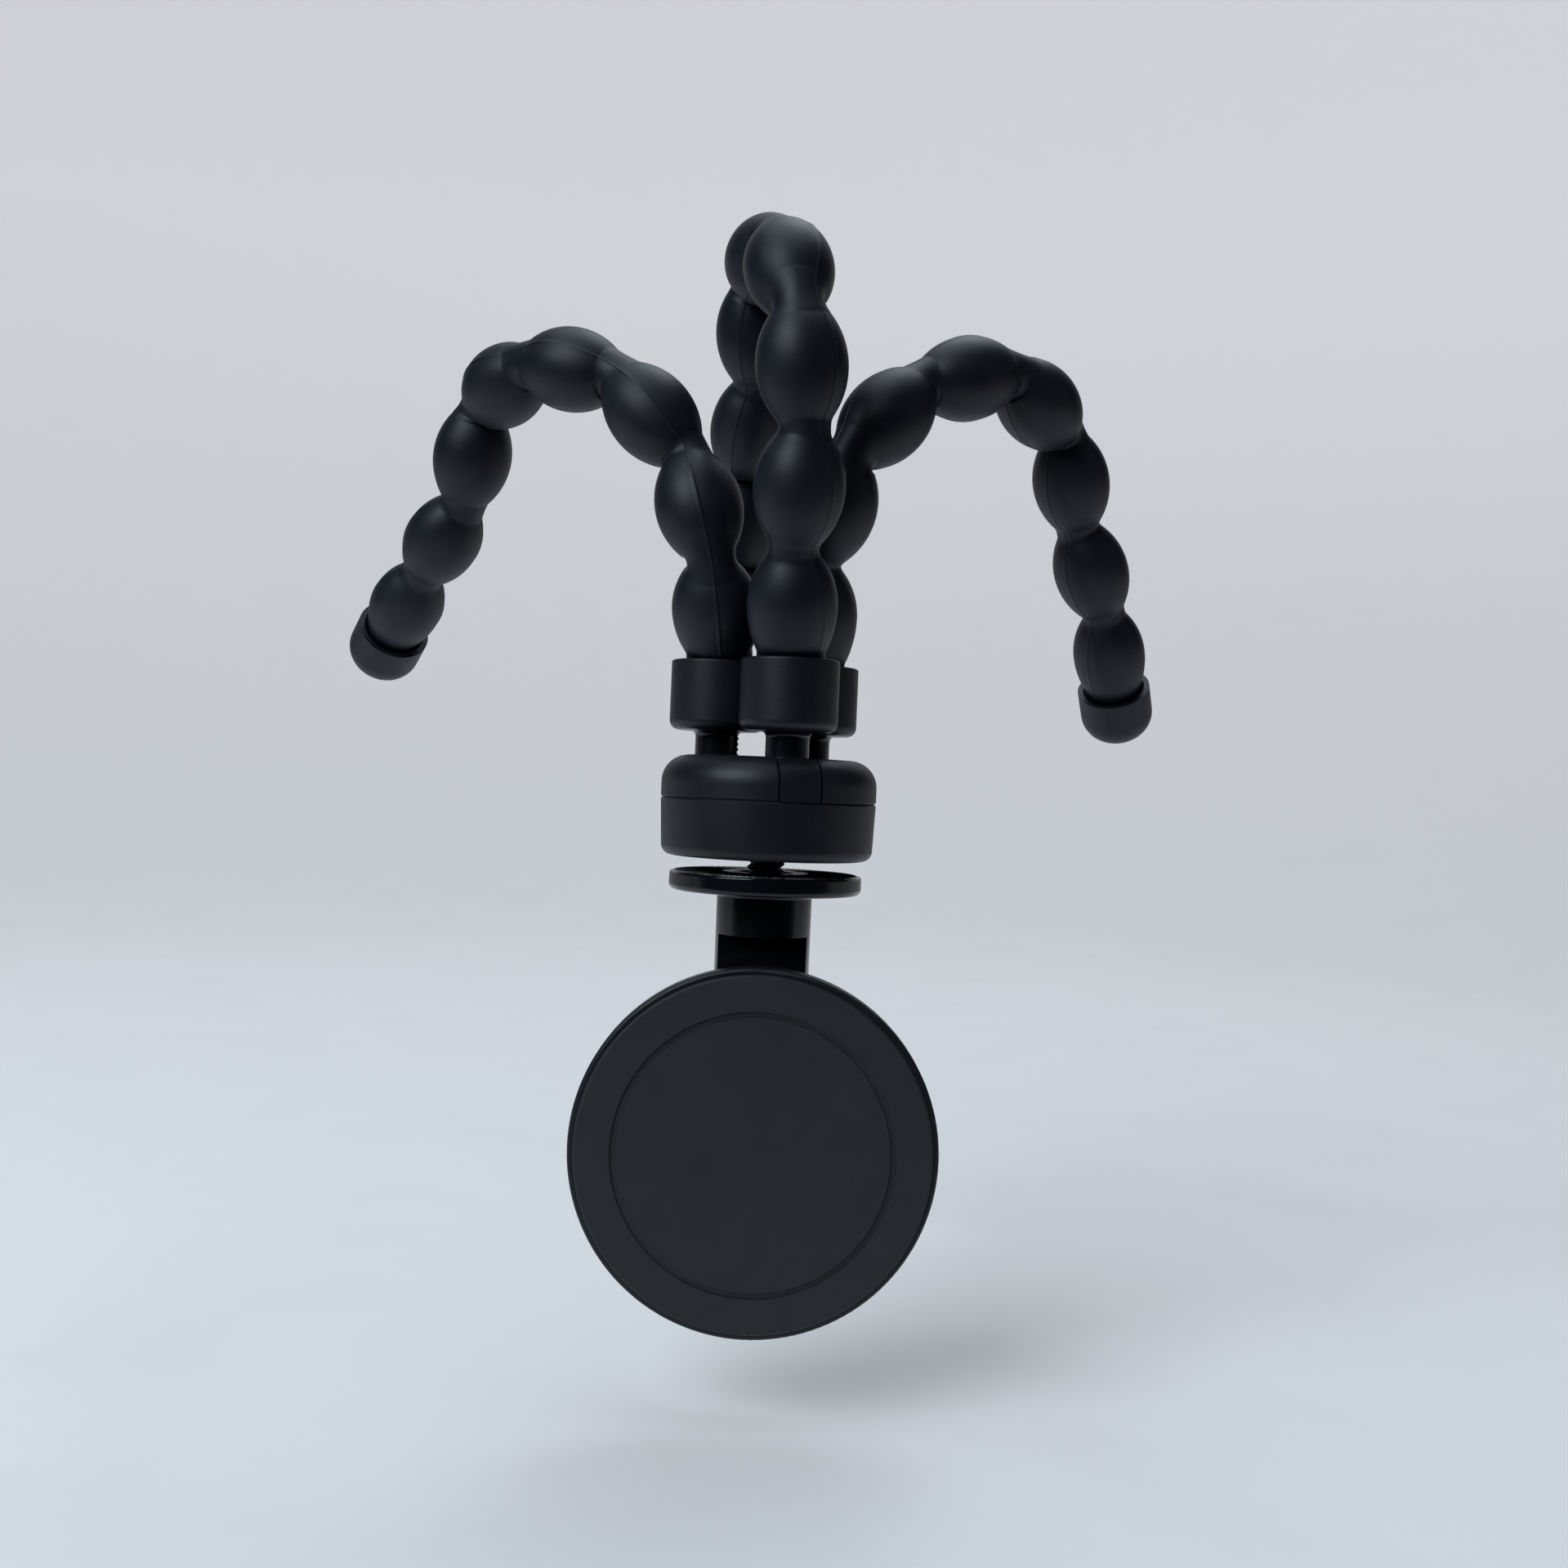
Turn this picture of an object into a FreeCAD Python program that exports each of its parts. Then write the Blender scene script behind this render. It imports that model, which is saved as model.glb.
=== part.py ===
"""Flexible phone tripod, its three bubble legs curled up and over like hooks.

Frame: origin in the middle of the opening that the curled legs leave, +X along that opening, +Z up,
-Y towards the side that the head's face looks to. The hub is below and in front of the opening, its
axis upright. Legs rise from its top, and the mount with the magnetic head is screwed to its
underside. Millimetres.
"""
import FreeCAD, Part
import Sketcher
import math
import os
import re

Vector = FreeCAD.Vector
UP = Vector(0, 0, 1)

# Driving dimensions, in millimetres and degrees
SIZES = {
    "grip_to_seam": 55.0,
    "grip_to_axis": 11.0,
    "leg_turn": 17.0,
    "leg_circle": 9.3,
    "hub_radius": 17.7,
    "cap_height": 7.0,
    "shoulder_round": 4.4,
    "base_height": 9.4,
    "base_taper": 0.4,
    "base_round": 1.7,
    "seam_chamfer": 0.3,
    "tongue_clear": 0.3,
    "post_radius": 3.5,
    "post_clear": 0.1,
    "post_show": 4.1,
    "anchor_radius": 5.0,
    "anchor_height": 2.0,
    "collar_radius": 7.9,
    "collar_height": 11.5,
    "collar_round": 1.6,
    "collar_fillet": 1.0,
    "collar_lip": 0.4,
    "plug_radius": 5.5,
    "plug_depth": 8.0,
    "plug_clear": 0.1,
    "mouth_radius": 7.25,
    "mouth_depth": 1.5,
    "mouth_gap": 0.2,
    "core_radius": 2.4,
    "core_clear": 0.05,
    "core_anchor": 5.0,
    "core_short": 3.0,
    "bubble_pitch": 18.4,
    "bubble_root": 7.15,
    "bubble_tip": 6.75,
    "neck_radius": 4.2,
    "neck_round": 2.6,
    "end_round": 1.0,
    "bend_margin": 0.3,
    "tip_radius": 4.6,
    "foot_plug_radius": 4.2,
    "foot_plug_length": 3.6,
    "foot_radius": 6.9,
    "foot_dome": 10.0,
    "foot_round": 5.6,
    "foot_rim": 1.2,
    "foot_wall": 1.0,
    "foot_seat": 0.5,
    "foot_clear": 0.1,
    "screw_radius": 3.1,
    "screw_head_flats": 11.1,
    "screw_head_height": 4.0,
    "screw_clear": 0.1,
    "screw_grip": 6.5,
    "shell_screw_circle": 12.2,
    "shell_screw_radius": 1.1,
    "shell_screw_head": 2.1,
    "shell_screw_head_height": 1.4,
    "shell_screw_reach": 4.0,
    "shell_screw_sink": 1.8,
    "pad_gap": 2.4,
    "pad_radius": 15.1,
    "pad_thickness": 0.8,
    "pad_proud": 0.2,
    "flange_radius": 15.8,
    "flange_thickness": 2.4,
    "flange_round": 0.9,
    "flange_lip": 0.35,
    "neck_fillet": 0.9,
    "arm_radius": 7.8,
    "arm_round_length": 7.0,
    "arm_front": 3.0,
    "arm_length": 40.0,
    "eye_radius": 6.2,
    "eye_width": 8.0,
    "eye_relief": 11.0,
    "insert_radius": 4.4,
    "insert_length": 8.0,
    "washer_thickness": 0.5,
    "washer_radius": 5.4,
    "washer_clear": 0.05,
    "ear_thickness": 3.4,
    "bolt_radius": 2.0,
    "bolt_clear": 0.1,
    "bolt_head_radius": 3.5,
    "bolt_head_height": 3.0,
    "bolt_socket_flats": 3.0,
    "nut_flats": 7.0,
    "nut_height": 3.2,
    "plate_radius": 12.0,
    "plate_gap": 0.6,
    "plate_thickness": 2.2,
    "spin_gap": 0.3,
    "head_radius": 29.0,
    "head_thickness": 5.6,
    "head_back_round": 2.2,
    "head_front_round": 0.6,
    "magnet_inner": 23.0,
    "magnet_outer": 26.8,
    "magnet_thickness": 2.2,
    "magnet_split": 0.4,
    "shield_thickness": 0.6,
    "ring_clear": 0.1,
    "face_radius": 28.0,
    "face_thickness": 0.8,
    "face_groove": 21.4,
    "face_groove_width": 0.9,
    "face_groove_depth": 0.3,
    "rivet_radius": 2.5,
    "rivet_head_radius": 4.5,
    "rivet_head_height": 1.2,
    "rivet_clear": 0.1,
}
MAGNET_CUTS = 9
SHELL_SCREWS = 3

# Each leg: its place round the hub, then the direction of each bubble from root to tip,
# as degrees above the horizon and degrees of heading, counted from +X towards +Y.
LEGS = {
    "front": (0, [(63, -92), (71, -81), (81, -127), (47, 106), (-4, 102), (-51, 89), (-47, 100), (-74, 95)]),
    "right": (1, [(69, -90), (67, -50), (46, 27), (14, 27), (-23, 48), (-54, 63), (-52, 51), (-51, 66)]),
    "left": (2, [(54, -98), (70, 142), (46, 163), (11, 152), (-14, 126), (-62, 119), (-39, 131), (-35, 124)]),
}
LEG_STEP = 120.0

doc = FreeCAD.newDocument("flexible_phone_tripod")
sheet = doc.addObject("Spreadsheet::Sheet", "Sizes")
for row, (alias, value) in enumerate(SIZES.items(), start=1):
    sheet.set(f"A{row}", alias)
    sheet.set(f"B{row}", str(value))
    sheet.setAlias(f"B{row}", alias)
doc.recompute()

pieces = []

# Heights below the hub's seam, and depths in front of the tilt pivot
PAD_TOP = "-(base_height + pad_gap)"
FLANGE_TOP = "-(base_height + pad_gap + pad_thickness)"
RIM_TOP = "-(base_height + pad_gap + pad_proud)"
FLANGE_BOTTOM = "-(base_height + pad_gap + pad_thickness + flange_thickness)"
PIVOT = "-(base_height + pad_gap + pad_thickness + flange_thickness + arm_length)"
PLATE_BACK = "-(eye_radius + plate_gap)"
PLATE_FRONT = "-(eye_radius + plate_gap + plate_thickness)"
HEAD_BACK = "-(eye_radius + plate_gap + plate_thickness + spin_gap)"
HEAD_FRONT = "-(eye_radius + plate_gap + plate_thickness + spin_gap + head_thickness)"
FACE_FRONT = "-(eye_radius + plate_gap + plate_thickness + spin_gap + head_thickness + face_thickness)"
EAR_INNER = "(eye_width / 2 + washer_thickness + 2 * washer_clear)"
COLLAR_BOTTOM = "(cap_height + post_show)"
COLLAR_TOP = "(cap_height + post_show + collar_height)"

ALONG_X = FreeCAD.Rotation(Vector(0, 1, 0), 90)


def bound(text):
    """Write a formula of size names as an expression on the sheet."""
    return re.sub(r"[a-z_]+", lambda m: f"Sizes.{m.group()}" if m.group() in SIZES else m.group(), text)


def size(name):
    return float(getattr(sheet, name))


def bind(thing, **formulas):
    """Bind properties to the sheet; Base_x, Base_y and Base_z mean the thing's place."""
    for prop, formula in formulas.items():
        thing.setExpression(prop.replace("Base_", "Placement.Base."), bound(formula))
    return thing


def seat(piece, turn="0", drop="0"):
    """Bring a piece drawn about the hub's axis, seam at zero, into the part's frame."""
    piece.Placement.Rotation = FreeCAD.Rotation(UP, 0)
    bind(piece, Base_y="-grip_to_axis", Base_z=f"-grip_to_seam + {drop}")
    if turn != "0":
        bind(piece, **{"Placement.Rotation.Angle": turn})
    pieces.append(piece)
    return piece


def new_body(label):
    body = doc.addObject("PartDesign::Body", label)
    body.Label = label
    return body


def origin_feature(body, role):
    return next(f for f in body.Origin.OriginFeatures if f.Role == role)


def outline(body, corners, role):
    """A closed sketch of straight runs, each corner a pair of formulas."""
    sketch = body.newObject("Sketcher::SketchObject", body.Label + "_outline")
    sketch.AttachmentSupport = [(origin_feature(body, role), "")]
    sketch.MapMode = "FlatFace"
    count = len(corners)
    rough = [Vector(math.cos(k), k, 0) for k in range(count)]
    sketch.addGeometry([Part.LineSegment(rough[k], rough[(k + 1) % count]) for k in range(count)])
    joins = [Sketcher.Constraint("Coincident", k, 2, (k + 1) % count, 1) for k in range(count)]
    sketch.addConstraint(joins)
    for k, corner in enumerate(corners):
        for kind, formula, start in zip(("DistanceX", "DistanceY"), corner, rough[k]):
            index = sketch.addConstraint(Sketcher.Constraint(kind, -1, 1, k, 1, start))
            sketch.setExpression(f"Constraints[{index}]", bound(formula))
    return sketch


def turned(label, corners, role="XZ_Plane"):
    """A body turned about Z from a profile in XZ, or about Y from a profile in XY."""
    body = new_body(label)
    sketch = outline(body, corners, role)
    turn = body.newObject("PartDesign::Revolution", label + "_turned")
    turn.Profile = sketch
    turn.ReferenceAxis = (sketch, ["V_Axis"])
    turn.Angle = 360
    doc.recompute()
    return body


def solid(body, kind, rotation=None, **formulas):
    """Add or take away a primitive, such as AdditiveCylinder, at a place in the body."""
    feature = body.newObject("PartDesign::" + kind, body.Label + "_" + kind)
    if rotation:
        feature.Placement.Rotation = rotation
    bind(feature, **formulas)
    doc.recompute()
    return feature


def amount(formula):
    """The number that a formula of size names comes to."""
    sheet.set("D1", "=" + formula)
    sheet.recompute()
    return float(sheet.get("D1"))


def dress(body, kind, formula, rings, axis=2):
    """Fillet or chamfer circular edges, each given by its radius and its place along the axis."""
    wanted = [(amount(radius), amount(level)) for radius, level in rings]
    base = body.Tip
    names = []
    for index, edge in enumerate(base.Shape.Edges, start=1):
        if not isinstance(edge.Curve, Part.Circle):
            continue
        found = (edge.Curve.Radius, edge.Curve.Center[axis])
        if any(math.dist(found, want) < 0.001 for want in wanted):
            names.append(f"Edge{index}")
    feature = body.newObject("PartDesign::" + kind, f"{body.Label}_{kind}")
    feature.Base = (base, names)
    bind(feature, **{"Radius" if kind == "Fillet" else "Size": formula})
    doc.recompute()
    return feature


def pattern_round(body, features, count):
    """Repeat features evenly about the hub's axis."""
    pattern = body.newObject("PartDesign::PolarPattern", body.Label + "_pattern")
    pattern.Originals = features
    pattern.Axis = (origin_feature(body, "Z_Axis"), [""])
    pattern.Angle = 360
    pattern.Occurrences = count
    body.Tip = pattern
    doc.recompute()
    return pattern


# Hub cap: the domed upper shell, with a keyhole slot for each leg's post
def make_hub_cap():
    body = turned("hub_cap", [
        ("0", "0"),
        ("hub_radius", "0"),
        ("hub_radius", "cap_height"),
        ("0", "cap_height"),
    ])
    dress(body, "Fillet", "shoulder_round", [("hub_radius", "cap_height")])
    dress(body, "Chamfer", "seam_chamfer", [("hub_radius", "0")])
    slot = solid(body, "SubtractiveBox", Length="2 * (post_radius + post_clear)", Width="hub_radius",
                 Height="cap_height", Base_x="-post_radius - post_clear", Base_y="-leg_circle - hub_radius")
    hole = solid(body, "SubtractiveCylinder", Radius="post_radius + post_clear", Height="cap_height",
                 Base_y="-leg_circle")
    pocket = solid(body, "SubtractiveCylinder", Radius="anchor_radius + post_clear",
                   Height="anchor_height + post_clear", Base_y="-leg_circle")
    thread = solid(body, "SubtractiveCylinder", Radius="shell_screw_radius + screw_clear",
                   Height="shell_screw_reach + screw_clear", Base_y="shell_screw_circle")
    pattern_round(body, [slot, hole, pocket, thread], len(LEGS))
    return seat(body, turn="leg_turn")


# Hub base: the lower shell, whose three tongues close the cap's slots flush with its dome
def make_hub_base():
    shell = turned("hub_base_shell", [
        ("0", "-base_height"),
        ("hub_radius - base_taper", "-base_height"),
        ("hub_radius", "0"),
        ("0", "0"),
    ])
    dress(shell, "Fillet", "base_round", [("hub_radius - base_taper", "-base_height")])
    dress(shell, "Chamfer", "seam_chamfer", [("hub_radius", "0")])
    solid(shell, "SubtractivePrism", Circumradius="screw_head_flats / sqrt(3) + screw_clear",
          Height="screw_head_height + screw_clear", Base_z="-screw_head_height - screw_clear")
    solid(shell, "SubtractiveCylinder", Radius="screw_radius + screw_clear", Height="base_height",
          Base_z="-base_height")
    sink = solid(shell, "SubtractiveCylinder", Radius="shell_screw_head + screw_clear",
                 Height="shell_screw_sink", Base_y="shell_screw_circle", Base_z="-base_height")
    hole = solid(shell, "SubtractiveCylinder", Radius="shell_screw_radius + screw_clear",
                 Height="base_height", Base_y="shell_screw_circle", Base_z="-base_height")
    pattern_round(shell, [sink, hole], SHELL_SCREWS)

    beside_post = "leg_circle + post_radius + 2 * post_clear"
    beside_anchor = "leg_circle + anchor_radius + 2 * post_clear"
    dome = turned("tongue_dome", [
        (beside_anchor, "0"),
        ("hub_radius", "0"),
        ("hub_radius", "cap_height"),
        (beside_post, "cap_height"),
        (beside_post, "anchor_height + post_clear"),
        (beside_anchor, "anchor_height + post_clear"),
    ])
    dress(dome, "Fillet", "shoulder_round", [("hub_radius", "cap_height")])
    bars = doc.addObject("Part::MultiFuse", "tongue_bars")
    shapes = []
    for k in range(len(LEGS)):
        bar = doc.addObject("Part::Box", f"tongue_bar_{k}")
        half = "(post_radius + post_clear - tongue_clear)"
        bind(bar, Length=f"2 * {half}", Width="hub_radius", Height="cap_height")
        turn = FreeCAD.Rotation(UP, k * LEG_STEP)
        bar.Placement.Rotation = turn
        across = turn.multVec(Vector(-1, 0, 0))
        out = turn.multVec(Vector(0, -1, 0))
        bind(bar, Base_x=f"{half} * {across.x} + hub_radius * {out.x}",
             Base_y=f"{half} * {across.y} + hub_radius * {out.y}")
        shapes.append(bar)
    bars.Shapes = shapes
    tongues = doc.addObject("Part::Common", "tongues")
    tongues.Base = dome
    tongues.Tool = bars
    base = doc.addObject("Part::Fuse", "hub_base")
    base.Base = shell
    base.Tool = tongues
    return seat(base, turn="leg_turn")


# Quarter-inch screw that the mount is wound onto, held by its hexagon head in the base
def make_hub_screw():
    body = new_body("hub_screw")
    solid(body, "AdditivePrism", Circumradius="screw_head_flats / sqrt(3)", Height="screw_head_height",
          Base_z="-screw_head_height")
    length = "(base_height - screw_head_height + pad_gap + screw_grip)"
    solid(body, "AdditiveCylinder", Radius="screw_radius", Height=length,
          Base_z=f"-screw_head_height - {length}")
    return seat(body, turn="leg_turn")


# Three small screws that pull the base up to the cap, their heads sunk in the base
def make_shell_screws():
    group = doc.addObject("Part::Compound", "shell_screws")
    screws = []
    for k in range(SHELL_SCREWS):
        turn = math.radians(k * LEG_STEP)
        place = {
            "Base_x": f"-shell_screw_circle * {math.sin(turn)}",
            "Base_y": f"shell_screw_circle * {math.cos(turn)}",
        }
        shank = doc.addObject("Part::Cylinder", f"shell_screw_shank_{k}")
        bind(shank, Radius="shell_screw_radius", Height="base_height - shell_screw_sink + shell_screw_reach",
             Base_z="-base_height + shell_screw_sink", **place)
        cheese = doc.addObject("Part::Cylinder", f"shell_screw_head_{k}")
        bind(cheese, Radius="shell_screw_head", Height="shell_screw_head_height",
             Base_z="-base_height + shell_screw_sink - shell_screw_head_height", **place)
        screw = doc.addObject("Part::Fuse", f"shell_screw_{k}")
        screw.Base = shank
        screw.Tool = cheese
        screws.append(screw)
    group.Links = screws
    return seat(group, turn="leg_turn")


def leg_name(leg, piece):
    return f"{leg}_leg_{piece}"


# Leg socket: a moulded collar on a post, with a round anchor that the hub traps
def make_leg_socket(leg):
    place, _ = LEGS[leg]
    floor = f"({COLLAR_TOP} - plug_depth)"
    body = turned(leg_name(leg, "socket"), [
        ("0", "post_clear"),
        ("anchor_radius", "post_clear"),
        ("anchor_radius", "anchor_height"),
        ("post_radius", "anchor_height"),
        ("post_radius", COLLAR_BOTTOM),
        ("collar_radius", COLLAR_BOTTOM),
        ("collar_radius", COLLAR_TOP),
        ("mouth_radius", COLLAR_TOP),
        ("plug_radius + plug_clear", f"{COLLAR_TOP} - mouth_depth"),
        ("plug_radius + plug_clear", floor),
        ("core_radius + core_clear", floor),
        ("core_radius + core_clear", f"{floor} - core_anchor"),
        ("0", f"{floor} - core_anchor"),
    ])
    dress(body, "Fillet", "collar_round", [("collar_radius", COLLAR_BOTTOM)])
    dress(body, "Fillet", "collar_fillet", [("post_radius", COLLAR_BOTTOM)])
    dress(body, "Fillet", "collar_lip", [("collar_radius", COLLAR_TOP)])
    angle = f"(leg_turn + {place * LEG_STEP}) * 1 deg"
    seat(body)
    bind(body, Base_x=f"leg_circle * sin({angle})", Base_y=f"-leg_circle * cos({angle}) - grip_to_axis")
    return body


def heading(pair):
    """A unit vector from degrees above the horizon and degrees of heading."""
    rise, turn = (math.radians(a) for a in pair)
    return Vector(math.cos(rise) * math.cos(turn), math.cos(rise) * math.sin(turn), math.sin(rise))


def leg_route(leg):
    """The leg's necks, the run directions before and after each, and the straight length each bend takes."""
    place, pairs = LEGS[leg]
    runs = [UP] + [heading(pair) for pair in pairs]
    angle = math.radians(size("leg_turn") + place * LEG_STEP)
    foot_of_leg = Vector(size("leg_circle") * math.sin(angle), -size("leg_circle") * math.cos(angle), 0)
    bends = [runs[k].getAngle(runs[k + 1]) for k in range(len(pairs))]
    radii = [size("plug_radius")] + [size("neck_radius")] * (len(pairs) - 1)
    taken = [(r + size("bend_margin")) * math.tan(b / 2) for r, b in zip(radii, bends)] + [0.0]
    mouth = amount(f"{COLLAR_TOP} - mouth_depth + mouth_gap")
    necks = [foot_of_leg + UP * (mouth + taken[0])]
    for run in runs[1:]:
        necks.append(necks[-1] + run * size("bubble_pitch"))
    return necks, runs, radii, taken


def elbow(neck, before, after, radius, bend_radius, taken):
    """A bent stretch of round section between two runs."""
    inward = (after - before * after.dot(before)).normalize()
    start = neck - before * taken
    disc = Part.Face(Part.Wire(Part.makeCircle(radius, start, before)))
    turn = math.degrees(before.getAngle(after))
    return disc.revolve(start + inward * bend_radius, before.cross(inward), turn)


def half_profile(half, crown, end, blend):
    """Points of a bubble's outline from its crown to one end: the crown, a point on the swell,
    where swell meets blend, a point on the blend, and the end."""
    gap = end + blend - crown
    swell = (half**2 + gap**2 - blend**2) / (2 * (crown - end))
    centre = Vector(0, crown - swell, 0)
    hollow = Vector(half, end + blend, 0)
    meet = hollow + (centre - hollow) * (blend / (swell + blend))
    lean = math.atan2(meet.x, meet.y - centre.y)
    on_swell = centre + Vector(math.sin(lean / 2), math.cos(lean / 2), 0) * swell
    on_blend = hollow - Vector(math.sin(lean / 2), math.cos(lean / 2), 0) * blend
    return [Vector(0, crown, 0), on_swell, meet, on_blend, Vector(half, end, 0)]


def bubble(centre, run, halves, crown, ends, blends):
    """One swelling of the sleeve, turned about its straight run."""
    back = [Vector(-p.x, p.y, 0) for p in half_profile(halves[0], crown, ends[0], blends[0])]
    front = half_profile(halves[1], crown, ends[1], blends[1])
    edges = [
        Part.makeLine(Vector(-halves[0], 0, 0), back[4]),
        Part.Arc(back[4], back[3], back[2]).toShape(),
        Part.Arc(back[2], back[1], back[0]).toShape(),
        Part.Arc(front[0], front[1], front[2]).toShape(),
        Part.Arc(front[2], front[3], front[4]).toShape(),
        Part.makeLine(front[4], Vector(halves[1], 0, 0)),
        Part.makeLine(Vector(halves[1], 0, 0), Vector(-halves[0], 0, 0)),
    ]
    shape = Part.Face(Part.Wire(edges)).revolve(Vector(), Vector(1, 0, 0), 360)
    shape.Placement = FreeCAD.Placement(centre, FreeCAD.Rotation(Vector(1, 0, 0), run))
    return shape


def core_shape(leg, clear, sunk):
    """The bent rod in a leg, from its seat in the socket to short of the tip."""
    necks, runs, radii, taken = leg_route(leg)
    radius = size("core_radius") + clear
    bottom = amount(COLLAR_TOP) - size("plug_depth") - sunk
    start = Vector(necks[0].x, necks[0].y, bottom)
    solids = []
    for k, neck in enumerate(necks):
        last = k == len(necks) - 1
        stop = neck - runs[k] * (size("core_short") if last else taken[k])
        solids.append(Part.makeCylinder(radius, (stop - start).Length, start, runs[k]))
        if last:
            break
        bend_radius = radii[k] + size("bend_margin")
        solids.append(elbow(neck, runs[k], runs[k + 1], radius, bend_radius, taken[k]))
        start = neck + runs[k + 1] * taken[k]
    return solids[0].multiFuse(solids[1:]).removeSplitter()


def place_leg_shape(label, shape):
    """A free-form leg piece, drawn about the hub's axis, as an object in the part's frame."""
    piece = doc.addObject("Part::Feature", label)
    piece.Shape = shape
    hub = Vector(0, -size("grip_to_axis"), -size("grip_to_seam"))
    piece.Placement = FreeCAD.Placement(hub, FreeCAD.Rotation())
    pieces.append(piece)
    return piece


# Core: the soft metal rod that keeps a leg as it is bent
def make_leg_core(leg):
    return place_leg_shape(leg_name(leg, "core"), core_shape(leg, 0, size("core_anchor") - size("core_clear")))


# Sleeve: one rubber moulding of eight bubbles, with a plug at the root and one for the foot
def make_leg_sleeve(leg):
    necks, runs, radii, taken = leg_route(leg)
    count = len(necks) - 1
    floor = amount(COLLAR_TOP) - size("plug_depth") + size("plug_clear")
    root = Vector(necks[0].x, necks[0].y, floor)
    solids = [Part.makeCylinder(size("plug_radius"), necks[0].z - taken[0] - floor, root, UP)]
    for k in range(count):
        bend_radius = radii[k] + size("bend_margin")
        solids.append(elbow(necks[k], runs[k], runs[k + 1], radii[k], bend_radius, taken[k]))
        share = k / (count - 1)
        crown = size("bubble_root") * (1 - share) + size("bubble_tip") * share
        first, last = k == 0, k == count - 1
        ends = (radii[k], size("tip_radius") if last else size("neck_radius"))
        blends = (size("end_round" if first else "neck_round"), size("end_round" if last else "neck_round"))
        halves = (size("bubble_pitch") / 2 - taken[k], size("bubble_pitch") / 2 - taken[k + 1])
        middle = (necks[k] + necks[k + 1]) * 0.5
        solids.append(bubble(middle, runs[k + 1], halves, crown, ends, blends))
    solids.append(Part.makeCylinder(size("foot_plug_radius"), size("foot_plug_length"), necks[-1], runs[-1]))
    sleeve = solids[0].multiFuse(solids[1:]).removeSplitter()
    sleeve = sleeve.cut(core_shape(leg, size("core_clear"), size("core_anchor")))
    return place_leg_shape(leg_name(leg, "sleeve"), sleeve)


# Foot: a rubber cup pushed over the leg's tip
def make_leg_foot(leg):
    bottom = "foot_plug_length + foot_clear"
    body = turned(leg_name(leg, "foot"), [
        ("0", bottom),
        ("foot_plug_radius + foot_clear", bottom),
        ("foot_plug_radius + foot_clear", "foot_seat"),
        ("foot_radius - foot_wall", "-foot_rim"),
        ("foot_radius", "-foot_rim"),
        ("foot_radius", "foot_dome"),
        ("0", "foot_dome"),
    ])
    dress(body, "Fillet", "foot_round", [("foot_radius", "foot_dome")])
    necks, runs, _, _ = leg_route(leg)
    tip = necks[-1] - Vector(0, size("grip_to_axis"), size("grip_to_seam"))
    body.Placement = FreeCAD.Placement(tip, FreeCAD.Rotation(UP, runs[-1]))
    pieces.append(body)
    return body


# Grip pad: the ribbed rubber ring on the mount's flange
def make_grip_pad():
    body = turned("grip_pad", [
        ("insert_radius + screw_clear", FLANGE_TOP),
        ("pad_radius", FLANGE_TOP),
        ("pad_radius", PAD_TOP),
        ("insert_radius + screw_clear", PAD_TOP),
    ])
    return seat(body)


# Brass insert with the quarter-inch thread, pressed into the mount
def make_thread_insert():
    body = turned("thread_insert", [
        ("screw_radius + screw_clear", f"{FLANGE_TOP} - insert_length"),
        ("insert_radius", f"{FLANGE_TOP} - insert_length"),
        ("insert_radius", FLANGE_TOP),
        ("screw_radius + screw_clear", FLANGE_TOP),
    ])
    return seat(body)


# Mount base: flange, neck and arm in one moulding, ending in the eye of the tilt hinge
def make_mount_base():
    body = turned("mount_base", [
        ("0", PIVOT),
        ("arm_radius", PIVOT),
        ("arm_radius", FLANGE_BOTTOM),
        ("flange_radius", FLANGE_BOTTOM),
        ("flange_radius", RIM_TOP),
        ("pad_radius", RIM_TOP),
        ("pad_radius", FLANGE_TOP),
        ("0", FLANGE_TOP),
    ])
    dress(body, "Fillet", "flange_round", [("flange_radius", FLANGE_BOTTOM)])
    dress(body, "Fillet", "neck_fillet", [("arm_radius", FLANGE_BOTTOM)])
    dress(body, "Fillet", "flange_lip", [("flange_radius", RIM_TOP)])
    solid(body, "SubtractiveCylinder", Radius="insert_radius", Height="insert_length",
          Base_z=f"{FLANGE_TOP} - insert_length")
    solid(body, "SubtractiveBox", Length="2 * arm_radius", Width="arm_radius - arm_front",
          Height="arm_length - arm_round_length", Base_x="-arm_radius", Base_y="-arm_radius", Base_z=PIVOT)
    solid(body, "SubtractiveBox", Length="2 * arm_radius", Width="arm_radius", Height="eye_relief",
          Base_x="-arm_radius", Base_y="eye_radius", Base_z=PIVOT)
    for side in ("-arm_radius - eye_width / 2", "eye_width / 2"):
        solid(body, "SubtractiveBox", Length="arm_radius", Width="2 * arm_radius", Height="eye_relief",
              Base_x=side, Base_y="-arm_radius", Base_z=PIVOT)
    solid(body, "AdditiveCylinder", ALONG_X, Radius="eye_radius", Height="eye_width",
          Base_x="-eye_width / 2", Base_z=PIVOT)
    solid(body, "SubtractiveCylinder", ALONG_X, Radius="bolt_radius + bolt_clear", Height="eye_width",
          Base_x="-eye_width / 2", Base_z=PIVOT)
    return seat(body)


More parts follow.
